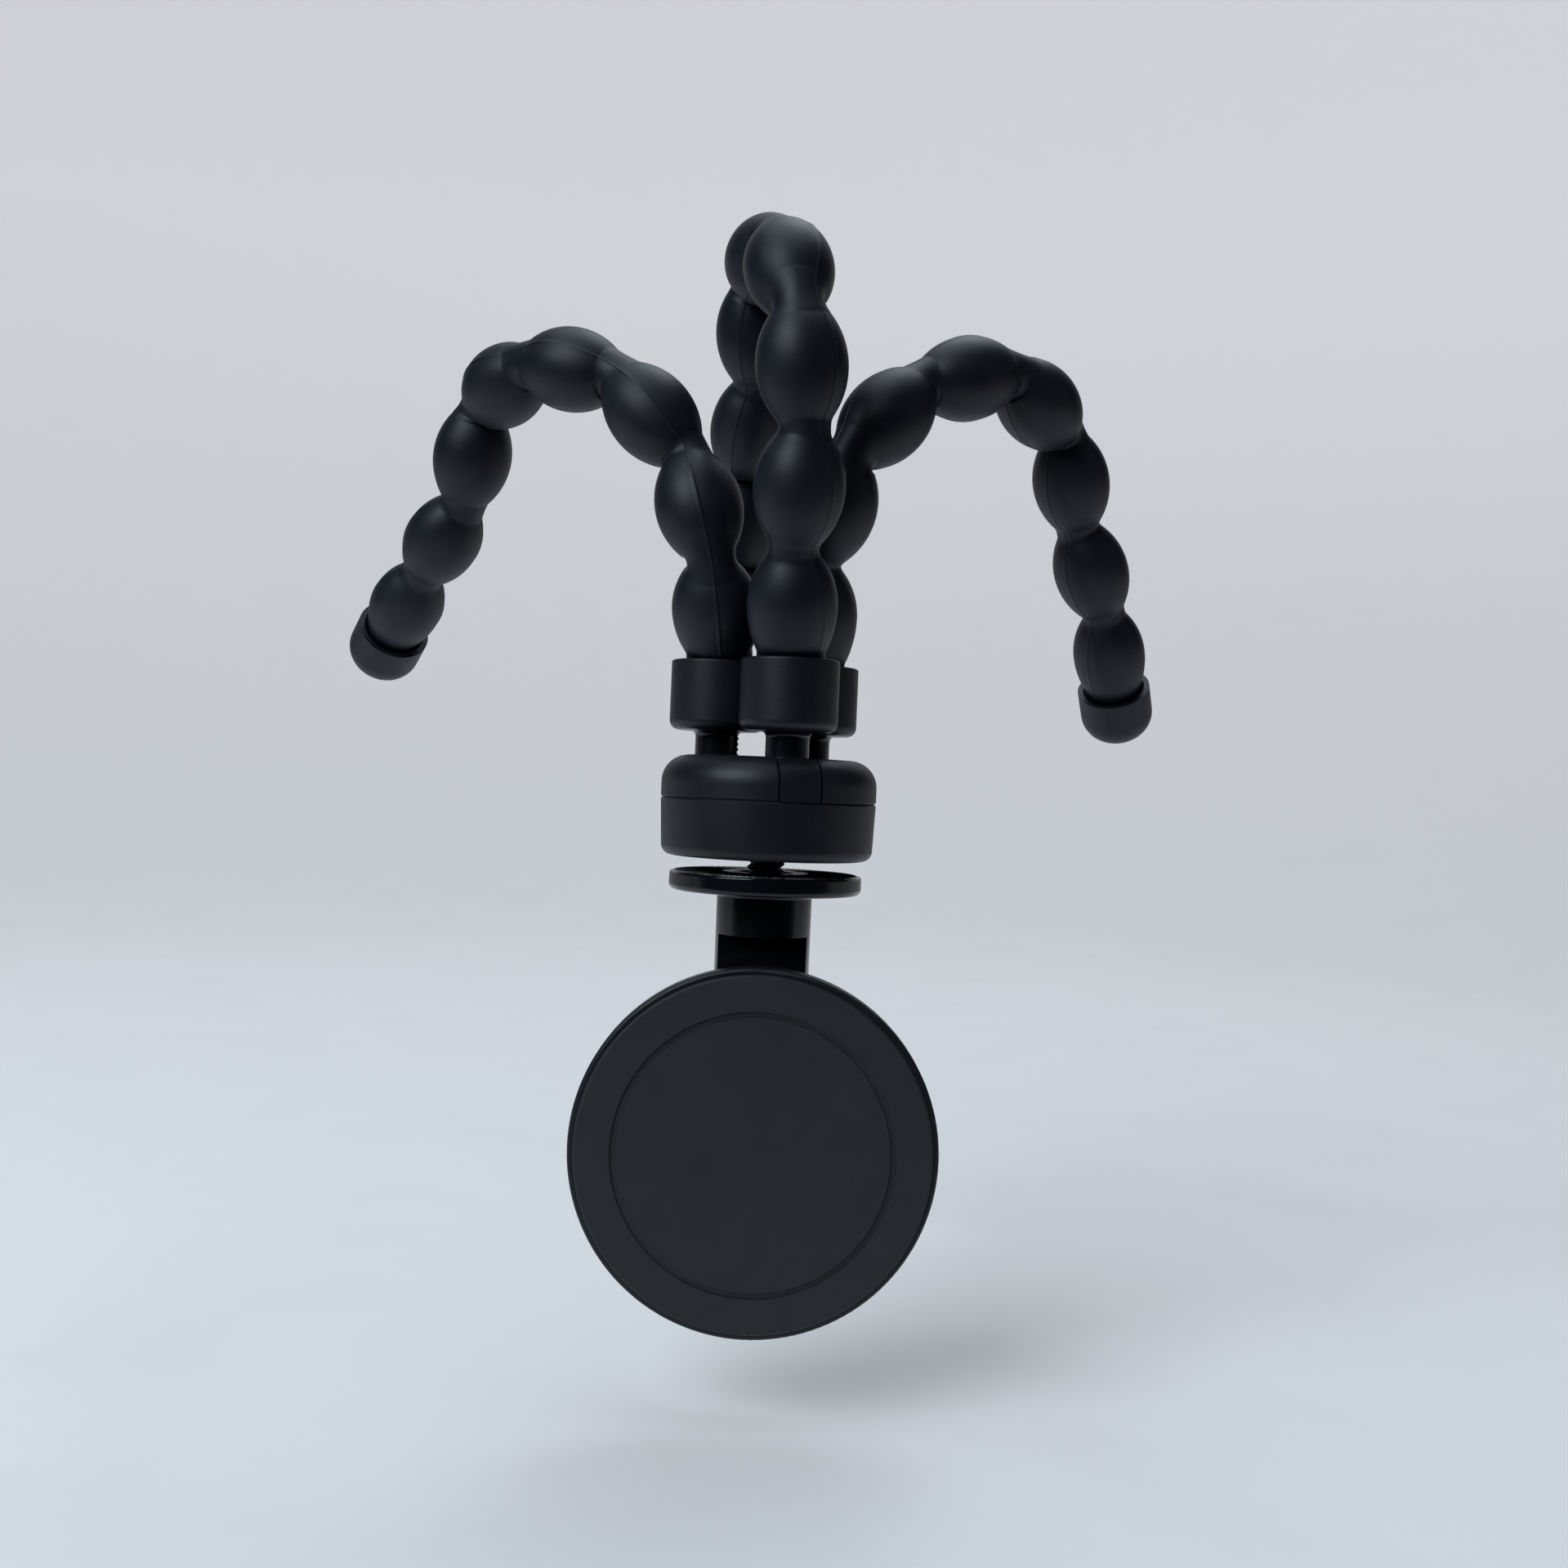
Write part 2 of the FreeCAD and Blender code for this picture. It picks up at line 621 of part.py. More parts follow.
# Tilt bracket: a round plate with two ears that hold the eye between them
def make_tilt_bracket():
    body = turned("tilt_bracket", [
        ("rivet_radius", PLATE_BACK),
        ("plate_radius", PLATE_BACK),
        ("plate_radius", PLATE_FRONT),
        ("rivet_radius", PLATE_FRONT),
    ], "XY_Plane")
    for inner in (EAR_INNER, f"-{EAR_INNER} - ear_thickness"):
        solid(body, "AdditiveBox", Length="ear_thickness", Width=f"-({PLATE_BACK})", Height="2 * eye_radius",
              Base_x=inner, Base_y=PLATE_BACK, Base_z="-eye_radius")
        solid(body, "AdditiveCylinder", ALONG_X, Radius="eye_radius", Height="ear_thickness", Base_x=inner)
        solid(body, "SubtractiveCylinder", ALONG_X, Radius="bolt_radius + bolt_clear", Height="ear_thickness",
              Base_x=inner)
    return seat(body, drop=PIVOT)


# Tilt hinge: bolt with a hexagon socket, nut, and two friction washers
def make_tilt_fasteners():
    outer = f"({EAR_INNER} + ear_thickness)"
    bolt = new_body("tilt_bolt")
    solid(bolt, "AdditiveCylinder", ALONG_X, Radius="bolt_radius", Height=f"2 * {outer} + nut_height",
          Base_x=f"-{outer} - nut_height")
    solid(bolt, "AdditiveCylinder", ALONG_X, Radius="bolt_head_radius", Height="bolt_head_height", Base_x=outer)
    solid(bolt, "SubtractivePrism", ALONG_X, Circumradius="bolt_socket_flats / sqrt(3)",
          Height="bolt_head_height / 2", Base_x=f"{outer} + bolt_head_height / 2")
    seat(bolt, drop=PIVOT)

    nut = new_body("tilt_nut")
    solid(nut, "AdditivePrism", ALONG_X, Circumradius="nut_flats / sqrt(3)", Height="nut_height",
          Base_x=f"-{outer} - nut_height")
    solid(nut, "SubtractiveCylinder", ALONG_X, Radius="bolt_radius + bolt_clear / 2", Height="nut_height",
          Base_x=f"-{outer} - nut_height")
    seat(nut, drop=PIVOT)

    group = doc.addObject("Part::Compound", "friction_washers")
    washers = []
    starts = ("eye_width / 2 + washer_clear", "-eye_width / 2 - washer_clear - washer_thickness")
    for side, start in zip(("right", "left"), starts):
        disc = doc.addObject("Part::Cylinder", f"washer_disc_{side}")
        hole = doc.addObject("Part::Cylinder", f"washer_hole_{side}")
        for cylinder, radius in ((disc, "washer_radius"), (hole, "bolt_radius + bolt_clear")):
            cylinder.Placement.Rotation = ALONG_X
            bind(cylinder, Radius=radius, Height="washer_thickness", Base_x=start)
        washer = doc.addObject("Part::Cut", f"washer_{side}")
        washer.Base = disc
        washer.Tool = hole
        washers.append(washer)
    group.Links = washers
    seat(group, drop=PIVOT)


# Rivet that the magnetic head turns on, fixed in the bracket's plate
def make_spin_rivet():
    shoulder = "(head_thickness - magnet_thickness - shield_thickness - ring_clear)"
    body = turned("spin_rivet", [
        ("0", PLATE_BACK),
        ("rivet_radius", PLATE_BACK),
        ("rivet_radius", f"{HEAD_BACK} - {shoulder} - rivet_clear"),
        ("rivet_head_radius", f"{HEAD_BACK} - {shoulder} - rivet_clear"),
        ("rivet_head_radius", f"{HEAD_BACK} - {shoulder} - rivet_clear - rivet_head_height"),
        ("0", f"{HEAD_BACK} - {shoulder} - rivet_clear - rivet_head_height"),
    ], "XY_Plane")
    return seat(body, drop=PIVOT)


# Head housing: the round shell behind the face, with a groove for the magnets
def make_head_housing():
    floor = f"({HEAD_FRONT} + magnet_thickness + shield_thickness + ring_clear)"
    body = turned("head_housing", [
        ("rivet_radius + rivet_clear", HEAD_BACK),
        ("head_radius", HEAD_BACK),
        ("head_radius", HEAD_FRONT),
        ("magnet_outer + ring_clear", HEAD_FRONT),
        ("magnet_outer + ring_clear", floor),
        ("magnet_inner - ring_clear", floor),
        ("magnet_inner - ring_clear", HEAD_FRONT),
        ("rivet_head_radius + rivet_clear", HEAD_FRONT),
        ("rivet_head_radius + rivet_clear", floor),
        ("rivet_radius + rivet_clear", floor),
    ], "XY_Plane")
    dress(body, "Fillet", "head_back_round", [("head_radius", HEAD_BACK)], axis=1)
    dress(body, "Fillet", "head_front_round", [("head_radius", HEAD_FRONT)], axis=1)
    return seat(body, drop=PIVOT)


# Steel ring behind the magnets
def make_shield_ring():
    body = turned("shield_ring", [
        ("magnet_inner", f"{HEAD_FRONT} + magnet_thickness + ring_clear / 2"),
        ("magnet_outer", f"{HEAD_FRONT} + magnet_thickness + ring_clear / 2"),
        ("magnet_outer", f"{HEAD_FRONT} + magnet_thickness + shield_thickness + ring_clear / 2"),
        ("magnet_inner", f"{HEAD_FRONT} + magnet_thickness + shield_thickness + ring_clear / 2"),
    ], "XY_Plane")
    return seat(body, drop=PIVOT)


# Magnets: a ring cut into arcs by thin gaps across its full width
def make_magnets():
    ring = turned("magnet_ring", [
        ("magnet_inner", HEAD_FRONT),
        ("magnet_outer", HEAD_FRONT),
        ("magnet_outer", f"{HEAD_FRONT} + magnet_thickness"),
        ("magnet_inner", f"{HEAD_FRONT} + magnet_thickness"),
    ], "XY_Plane")
    gaps = doc.addObject("Part::MultiFuse", "magnet_gaps")
    cuts = []
    for k in range(MAGNET_CUTS):
        cut = doc.addObject("Part::Box", f"magnet_gap_{k}")
        turn = FreeCAD.Rotation(Vector(0, 1, 0), k * 180 / MAGNET_CUTS)
        cut.Placement.Rotation = turn
        across = turn.multVec(Vector(-0.5, 0, 0))
        along = turn.multVec(Vector(0, 0, -1))
        bind(cut, Length="magnet_split", Width="magnet_thickness", Height="2 * head_radius", Base_y=HEAD_FRONT,
             Base_x=f"magnet_split * {across.x} + head_radius * {along.x}",
             Base_z=f"magnet_split * {across.z} + head_radius * {along.z}")
        cuts.append(cut)
    gaps.Shapes = cuts
    magnets = doc.addObject("Part::Cut", "magnets")
    magnets.Base = ring
    magnets.Tool = gaps
    return seat(magnets, drop=PIVOT)


# Face pad: the soft disc on the front of the head
def make_face_pad():
    body = turned("face_pad", [
        ("0", FACE_FRONT),
        ("face_groove", FACE_FRONT),
        ("face_groove", f"{FACE_FRONT} + face_groove_depth"),
        ("face_groove + face_groove_width", f"{FACE_FRONT} + face_groove_depth"),
        ("face_groove + face_groove_width", FACE_FRONT),
        ("face_radius", FACE_FRONT),
        ("face_radius", HEAD_FRONT),
        ("0", HEAD_FRONT),
    ], "XY_Plane")
    dress(body, "Fillet", "face_thickness / 2", [("face_radius", FACE_FRONT)], axis=1)
    return seat(body, drop=PIVOT)


def check_and_export():
    doc.recompute()
    failed = [o.Name for o in doc.Objects if "Invalid" in o.State or "Error" in o.State]
    if failed:
        raise RuntimeError(f"failed objects: {failed}")
    for piece in pieces:
        if piece.Shape.isNull() or not piece.Shape.isValid():
            raise RuntimeError(f"bad shape: {piece.Label}")
    os.makedirs("parts", exist_ok=True)
    for piece in pieces:
        piece.Shape.exportStep(f"parts/{piece.Label}.step")
        print(f"{piece.Label}: {len(piece.Shape.Solids)} solid(s), {piece.Shape.Volume:.1f} mm3")


make_hub_cap()
make_hub_base()
make_hub_screw()
make_shell_screws()
for leg in LEGS:
    make_leg_socket(leg)
    make_leg_core(leg)
    make_leg_sleeve(leg)
    make_leg_foot(leg)
make_grip_pad()
make_thread_insert()
make_mount_base()
make_tilt_bracket()
make_tilt_fasteners()
make_spin_rivet()
make_head_housing()
make_shield_ring()
make_magnets()
make_face_pad()
check_and_export()
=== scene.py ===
# %% [markdown]
# # A flexible phone tripod with its legs curled
#
# Three rubber legs, each a row of bubbles, curl up and over. Their collars sit in a round hub, and a mount
# with a magnetic head is screwed to the hub's underside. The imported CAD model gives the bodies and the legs'
# directions. This lesson adds what CAD leaves plain: smooth bent necks, a thread, a ribbed pad, and the
# finish of each material. Places on the part are in millimetres until they become mesh points, in metres.

# %% Load the frame
import math
from functools import partial

import bpy
from mathutils import Matrix, Vector


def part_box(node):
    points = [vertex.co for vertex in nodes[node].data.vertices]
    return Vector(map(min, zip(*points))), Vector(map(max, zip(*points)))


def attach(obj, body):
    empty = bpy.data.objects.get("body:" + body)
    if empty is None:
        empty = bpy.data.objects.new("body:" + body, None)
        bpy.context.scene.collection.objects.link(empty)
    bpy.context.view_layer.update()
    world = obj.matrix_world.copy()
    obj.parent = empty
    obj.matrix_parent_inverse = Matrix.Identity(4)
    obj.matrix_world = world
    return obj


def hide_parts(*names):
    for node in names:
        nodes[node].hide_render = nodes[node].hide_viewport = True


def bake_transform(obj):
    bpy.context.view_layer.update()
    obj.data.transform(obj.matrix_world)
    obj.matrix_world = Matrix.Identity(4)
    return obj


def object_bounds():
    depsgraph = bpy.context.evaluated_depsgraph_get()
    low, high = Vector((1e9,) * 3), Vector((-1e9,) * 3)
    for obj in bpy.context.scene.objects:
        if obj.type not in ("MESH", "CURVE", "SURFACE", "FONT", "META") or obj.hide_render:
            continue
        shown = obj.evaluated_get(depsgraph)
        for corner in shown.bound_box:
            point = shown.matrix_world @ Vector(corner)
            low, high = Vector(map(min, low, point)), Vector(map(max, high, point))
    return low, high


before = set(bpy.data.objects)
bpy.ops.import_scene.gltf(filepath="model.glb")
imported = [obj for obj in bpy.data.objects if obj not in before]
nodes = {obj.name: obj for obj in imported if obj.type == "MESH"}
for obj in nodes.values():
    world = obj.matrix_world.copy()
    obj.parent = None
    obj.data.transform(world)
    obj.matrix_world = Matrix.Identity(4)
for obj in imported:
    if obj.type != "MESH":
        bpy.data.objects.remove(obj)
cad_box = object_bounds()
MM = 0.001
HUB_PLACE = Vector((0, -11, -55))
print("CAD box in mm:", [[round(c / MM, 1) for c in corner] for corner in cad_box])

# %% [markdown]
# ## The camera
#
# The picture was taken from straight in front, a little over a quarter of a metre away, with the camera level
# with the hub and rolled slightly. A camera could be aimed with a Track To constraint, but a roll is easier
# to state as a matrix: its columns are the camera's right, its up, and the direction that it looks away from.

# %% Make the camera
ROLL = math.radians(2.4)
LENS = 36.79
CAMERA_PLACE = Vector((2.45, -275, -52.2))
camera_data = bpy.data.cameras.new("camera")
camera_data.lens = LENS
camera_data.sensor_width = 36.0
camera_data.clip_start = 0.01
camera = bpy.data.objects.new("camera", camera_data)
bpy.context.scene.collection.objects.link(camera)
right = Vector((math.cos(ROLL), 0, math.sin(ROLL)))
up = Vector((-math.sin(ROLL), 0, math.cos(ROLL)))
back = Vector((0, -1, 0))
turn = Matrix((right, up, back)).transposed()
camera.matrix_world = Matrix.LocRotScale(CAMERA_PLACE * MM, turn, None)
bpy.context.scene.camera = camera
print("camera at", [round(c / MM, 1) for c in camera.location], "mm")

# %% [markdown]
# ## Floor, backdrop and light
#
# Pale paper that curves up all round the object, like a bowl, gives a plain ground without a hard horizon.
# The light comes from large soft panels, because the tripod is almost black: its shape shows only in what it
# reflects. For the same reason the paper in front of it and the room are pale only to the camera, and dark to
# the object.

# %% Make the stage
FLOOR_GAP = 14
FLOOR_Z = cad_box[0].z - FLOOR_GAP * MM
FLOOR_INNER = 0.3
BOWL_RADIUS = 2.2
COVE = 1.4
BOWL_TOP = 3.2
BOWL_SIDES = 96
COVE_STEPS = 16


def link(obj):
    bpy.context.scene.collection.objects.link(obj)
    return obj


def mesh_object(name, points, faces, smooth=True):
    """A mesh object in the frame's metres."""
    mesh = bpy.data.meshes.new(name)
    mesh.from_pydata([tuple(p) for p in points], [], faces)
    if smooth:
        mesh.shade_smooth()
    return link(bpy.data.objects.new(name, mesh))


def ring_faces(rings, width, first=0, closed=False, inward=False):
    """Faces between rings of points, with the last ring joined to the first where closed."""
    faces = []
    for r in range(rings if closed else rings - 1):
        low = first + r * width
        high = first + (r + 1) % rings * width
        for k in range(width):
            n = (k + 1) % width
            face = (low + k, low + n, high + n, high + k)
            faces.append((face[0], face[3], face[2], face[1]) if inward else face)
    return faces


def end_face(width, first=0, inward=False):
    """One face that closes a ring of points."""
    corners = tuple(range(first, first + width))
    return corners[::-1] if inward else corners


steps = [math.pi / 2 * k / COVE_STEPS for k in range(COVE_STEPS + 1)]
profile = [(FLOOR_INNER, FLOOR_Z)]
profile += [(BOWL_RADIUS - COVE + COVE * math.sin(a), FLOOR_Z + COVE - COVE * math.cos(a)) for a in steps]
profile += [(BOWL_RADIUS, BOWL_TOP)]
turns = [2 * math.pi * k / BOWL_SIDES for k in range(BOWL_SIDES)]
points = [(radius * math.cos(a), radius * math.sin(a), z) for radius, z in profile for a in turns]
faces = [end_face(BOWL_SIDES)] + ring_faces(len(profile), BOWL_SIDES, inward=True)
paper = mesh_object("paper", points, faces)
print("paper faces:", len(paper.data.polygons))

# %% Make the lights
LAMPS = [
    ("window_left", (-0.64, -0.74, 0.62), 0.8, 9.6),
    ("sky_panel", (-0.1, 0.05, 1.0), 1.0, 4.2),
    ("fill_right", (0.95, -0.35, 0.3), 0.6, 0.2),
    ("rear_panel", (0.2, 0.5, 0.9), 0.6, 2.2),
]
DAYLIGHT = (0.8, 0.91, 1.0)
AIM = Vector((0, -0.01, -0.04))
for name, place, width, power in LAMPS:
    lamp = bpy.data.lights.new(name, "AREA")
    lamp.shape = "DISK"
    lamp.size = width
    lamp.energy = power
    lamp.color = DAYLIGHT
    holder = link(bpy.data.objects.new(name, lamp))
    holder.location = place
    holder.visible_camera = False
    holder.rotation_mode = "QUATERNION"
    holder.rotation_quaternion = (AIM - Vector(place)).to_track_quat("-Z", "Y")
bpy.context.scene.view_settings.view_transform = "Standard"
print("lamps:", len(LAMPS))

# %% [markdown]
# ## Writing shaders as expressions
#
# A finish is easier to read as arithmetic than as a list of nodes and links. The class below wraps one output
# socket. Plus, minus and times on it add Math nodes, and every other node comes from its one method, `add`.


# %% A socket with arithmetic
class Wire:
    """An output socket of a node tree that Python's operators work on."""

    def __init__(self, tree, socket=None):
        self.tree = tree
        self.socket = socket

    def add(self, kind, settings=None, inputs=None, output=0):
        """Make a node: settings first, then each socket's value or link."""
        node = self.tree.nodes.new(kind)
        for key, value in (settings or {}).items():
            setattr(node, key, value)
        for key, value in (inputs or {}).items():
            if isinstance(value, Wire):
                self.tree.links.new(value.socket, node.inputs[key])
            else:
                node.inputs[key].default_value = value
        return Wire(self.tree, node.outputs[output])

    def math(self, operation, *values):
        return self.add("ShaderNodeMath", {"operation": operation}, dict(enumerate(values)))

    def __add__(self, other):
        return self.math("ADD", self, other)

    def __radd__(self, other):
        return self.math("ADD", other, self)

    def __sub__(self, other):
        return self.math("SUBTRACT", self, other)

    def __rsub__(self, other):
        return self.math("SUBTRACT", other, self)

    def __mul__(self, other):
        return self.math("MULTIPLY", self, other)

    def __rmul__(self, other):
        return self.math("MULTIPLY", other, self)

    def place(self):
        """Where a point is on its own piece, in metres."""
        return self.add("ShaderNodeTexCoord", output="Object")

    def place_along(self, axis):
        """One coordinate of that place: 0 for x, 1 for y, 2 for z."""
        return self.add("ShaderNodeSeparateXYZ", {}, {0: self.place()}, output=axis)

    def grain(self, size, detail=2.0):
        """Soft noise from 0 to 1, whose spots are about this many metres across."""
        inputs = {"Vector": self.place(), "Scale": 1 / size, "Detail": detail}
        return self.add("ShaderNodeTexNoise", {}, inputs)

    def ramp(self, low, high):
        """Stretch the values from low to high over 0 to 1, and hold them beyond."""
        inputs = {"Value": self, "From Min": low, "From Max": high}
        return self.add("ShaderNodeMapRange", {"clamp": True}, inputs)

    def tint(self, dark, light):
        """Go from one colour to another as this value goes from 0 to 1."""
        inputs = {0: self, 6: (*dark, 1), 7: (*light, 1)}
        return self.add("ShaderNodeMix", {"data_type": "RGBA"}, inputs, output=2)

    def relief(self, depth):
        """Use this value as a height of so many metres."""
        return self.add("ShaderNodeBump", {}, {"Strength": 1.0, "Distance": depth, "Height": self})


def finish(name, surface, **constants):
    """A material: constants go on the shader's own sockets, and surface(wire) gives what varies."""
    material = bpy.data.materials.new(name)
    material.use_nodes = True
    tree = material.node_tree
    shader = tree.nodes["Principled BSDF"]
    for socket, value in constants.items():
        shader.inputs[socket.replace("_", " ")].default_value = value
    for socket, wire in surface(Wire(tree)).items():
        tree.links.new(wire.socket, shader.inputs[socket])
    return material


# %% [markdown]
# ## Rubber
#
# The legs are black silicone rubber, matt but not dead: their edges catch the pale surroundings. A faint
# cloudiness in colour and roughness, a skin as fine as the mould's blasted steel, and a little dust keep it
# from looking like paint.

# %% Rubber for legs and feet
def leg_rubber(wire):
    cloud = wire.grain(6 * MM, 3.0)
    skin = wire.grain(0.3 * MM, 3.0)
    dust = wire.grain(0.7 * MM, 4.0).ramp(0.66, 0.78) * wire.grain(9 * MM).ramp(0.42, 0.7)
    colour = (cloud * 0.3 + dust * 0.7).tint((0.0026, 0.0042, 0.0096), (0.027, 0.033, 0.045))
    return {
        "Base Color": colour,
        "Roughness": 0.42 + cloud * 0.14 + dust * 0.12,
        "Normal": skin.relief(0.02 * MM),
    }


RUBBER = finish("leg_rubber", leg_rubber, Specular_IOR_Level=0.34)
print("made", RUBBER.name)

# %% [markdown]
# ## Moulded plastic
#
# Hub, collars and head are satin moulded plastic: a fine even spark grain, with slightly polished patches
# where hands rub it. The posts under the collars come out of a polished mould, so the same moulding is glossy
# there. Height on the piece tells the two apart.

# %% Satin plastic, and the socket's satin and gloss
COLLAR_BOTTOM = 11.1
COLLAR_BOTTOM_Z = (HUB_PLACE.z + COLLAR_BOTTOM) * MM


def satin_plastic(wire):
    rub = wire.grain(11 * MM, 3.0)
    spark = wire.grain(0.28 * MM, 3.0)
    return {
        "Base Color": rub.tint((0.0038, 0.0052, 0.009), (0.0078, 0.0098, 0.0148)),
        "Roughness": 0.4 + rub.ramp(0.3, 0.7) * 0.1,
        "Normal": spark.relief(0.018 * MM),
    }


def socket_plastic(wire):
    satin = satin_plastic(wire)
    collar = wire.place_along(2).ramp(COLLAR_BOTTOM_Z - 0.2 * MM, COLLAR_BOTTOM_Z + 0.4 * MM)
    flow = wire.grain(2.2 * MM)
    satin["Roughness"] = 0.16 + flow * 0.1 + collar * 0.24
    return satin


def gloss_plastic(wire):
    smear = wire.grain(7 * MM, 4.0)
    return {
        "Base Color": smear.tint((0.0024, 0.003, 0.0046), (0.0048, 0.0058, 0.008)),
        "Roughness": 0.13 + smear.ramp(0.4, 0.75) * 0.12,
        "Normal": wire.grain(3 * MM).relief(0.01 * MM),
    }


SATIN = finish("satin_plastic", satin_plastic, Specular_IOR_Level=0.36)
SOCKET = finish("socket_plastic", socket_plastic, Specular_IOR_Level=0.4)
GLOSS = finish("gloss_plastic", gloss_plastic, Specular_IOR_Level=0.42)
print("made", SATIN.name, SOCKET.name, GLOSS.name)

# %% [markdown]
# ## Metal and pads
#
# Screws and washers are blackened steel, the insert is turned brass, the magnets are nickel plated, and the
# rods inside the legs are bare aluminium. Fine specks and scratches stand for the marks of turning.


# %% Metals and pad rubber
def streaked(dark, light, rough):
    """A metal's surface between two colours, at least so rough."""
    def surface(wire):
        spots = wire.grain(0.9 * MM, 4.0)
        scratch = wire.grain(0.25 * MM, 5.0)
        return {
            "Base Color": spots.tint(dark, light),
            "Roughness": rough + scratch.ramp(0.35, 0.7) * 0.16,
            "Normal": scratch.relief(0.006 * MM),
        }

    return surface


def pad_rubber(wire):
    pores = wire.grain(0.35 * MM, 3.0)
    cloud = wire.grain(5 * MM, 3.0)
    return {
        "Base Color": cloud.tint((0.008, 0.009, 0.0112), (0.018, 0.0195, 0.0225)),
        "Roughness": 0.58 + cloud * 0.2,
        "Normal": pores.relief(0.03 * MM),
    }


def grip_rubber(wire):
    pores = wire.grain(0.3 * MM, 3.0)
    # The pale patches in the base colour are painted glints, standing in for light from behind that grazes the
    # teeth.
    painted_glint = wire.grain(1.6 * MM, 3.0).ramp(0.45, 0.7)
    return {
        "Base Color": painted_glint.tint((0.02, 0.021, 0.024), (0.15, 0.155, 0.165)),
        "Roughness": 0.26 + painted_glint * 0.2,
        "Normal": pores.relief(0.02 * MM),
    }


STEEL = finish("black_steel", streaked((0.05, 0.05, 0.053), (0.12, 0.12, 0.125), 0.3), Metallic=1.0)
BRASS = finish("turned_brass", streaked((0.55, 0.38, 0.14), (0.74, 0.55, 0.26), 0.22), Metallic=1.0)
PLATED = finish("plated_magnet", streaked((0.42, 0.42, 0.44), (0.6, 0.6, 0.62), 0.2), Metallic=1.0)
ALUMINIUM = finish("soft_aluminium", streaked((0.55, 0.55, 0.57), (0.72, 0.72, 0.74), 0.35), Metallic=1.0)
PAD = finish("pad_rubber", pad_rubber)
GRIP = finish("grip_rubber", grip_rubber)
print("made", STEEL.name, BRASS.name, PLATED.name, ALUMINIUM.name, PAD.name, GRIP.name)

# %% [markdown]
# ## Paper and room
#
# The Light Path node tells a ray from the camera from all others, so paper and room can be pale to one and
# dark to the rest. Behind the object the paper glows for every ray, because edges mirror it.

# %% Paper and room
BLACK = (0.0, 0.0, 0.0)


def paper_white(wire):
    """Pale to the camera everywhere, but dark to the object in front of it and far beside it."""
    fibre = wire.grain(40 * MM, 4.0)
    camera_ray = wire.add("ShaderNodeLightPath", output="Is Camera Ray")
    across = wire.math("ABSOLUTE", wire.place_along(0))
    depth = wire.place_along(1)
    distance = wire.add("ShaderNodeVectorMath", {"operation": "LENGTH"}, {0: wire.place()}, output="Value")
    behind = depth.ramp(-0.22, -0.1) * (1 - across.ramp(1.2, 1.5))
    shown = camera_ray.math("MAXIMUM", camera_ray, behind)
    glow = shown * (0.2 + distance.ramp(0.2, 2.2) * 0.8)
    lit = camera_ray.math("MAXIMUM", camera_ray, behind * (1 - distance.ramp(0.7, 1.0)))
    return {
        "Base Color": (lit * (0.94 + fibre * 0.12)).tint(BLACK, (0.79, 0.775, 0.77)),
        "Emission Color": glow.tint(BLACK, (0.49, 0.5, 0.525)),
    }


PAPER = finish("pale_paper", paper_white, Roughness=0.9, Specular_IOR_Level=0.0, Emission_Strength=1.0)
paper.data.materials.append(PAPER)
world = bpy.data.worlds.new("room")
world.use_nodes = True
room = Wire(world.node_tree)
lit = room.add("ShaderNodeBackground", {}, {"Color": (0.62, 0.7, 0.84, 1), "Strength": 0.07})
seen = room.add("ShaderNodeBackground", {}, {"Color": (0.6, 0.62, 0.65, 1), "Strength": 1.0})
looked_at = room.add("ShaderNodeLightPath", output="Is Camera Ray")
mixed = room.add("ShaderNodeMixShader", {}, {0: looked_at, 1: lit, 2: seen})
world.node_tree.links.new(mixed.socket, world.node_tree.nodes["World Output"].inputs["Surface"])
bpy.context.scene.world = world
print("materials:", len(bpy.data.materials))

# %% [markdown]
# ## Finishes for the CAD pieces that keep their shape
#
# Hub, sockets, feet and mount are already right as solids, so they only get their material.

# %% Dress the CAD nodes
FINISHES = {
    SATIN: ["hub_cap", "hub_base", "tilt_bracket", "head_housing"],
    SOCKET: ["front_leg_socket", "right_leg_socket", "left_leg_socket"],
    RUBBER: ["front_leg_foot", "right_leg_foot", "left_leg_foot"],
    GLOSS: ["mount_base"],
    STEEL: ["shell_screws", "tilt_bolt", "tilt_nut", "friction_washers", "spin_rivet", "shield_ring"],
    BRASS: ["thread_insert"],
    PLATED: ["magnets"],
    PAD: ["face_pad"],
}
for material, names in FINISHES.items():
    for name in names:
        nodes[name].data.materials.clear()
        nodes[name].data.materials.append(material)
print("dressed:", sum(len(names) for names in FINISHES.values()), "CAD nodes")

# %% [markdown]
# ## The legs' route
#
# Each leg is a chain of bubbles of equal pitch. At a neck it bends on a small arc, and between two necks it
# is straight. The rod inside the leg has the same straight runs, and the frame holds the rod, so the
# direction of every bubble can be read there. Along a straight run the rod's mesh has edges from one end to
# the other, far longer than those round a bend. The shortest doesn't slant, so it lies along the run.

# %% Follow a leg from collar to tip
PITCH = 18.4
PLUG_RADIUS = 5.5
NECK_RADIUS = 3.95
ROOT_BEND = 5.8
NECK_BEND = 4.9
LEG_CIRCLE = 9.3
SOCKET_FLOOR = 14.6
MOUTH_LEVEL = 21.3
ROD_RADIUS = 2.4
LONG_EDGE = 9.0
SAME_RUN = 2.1 * ROD_RADIUS
FIRST_LEG = 17
LEG_STEP = 120
LEG_TURNS = {leg: FIRST_LEG + LEG_STEP * k for k, leg in enumerate(("front", "right", "left"))}


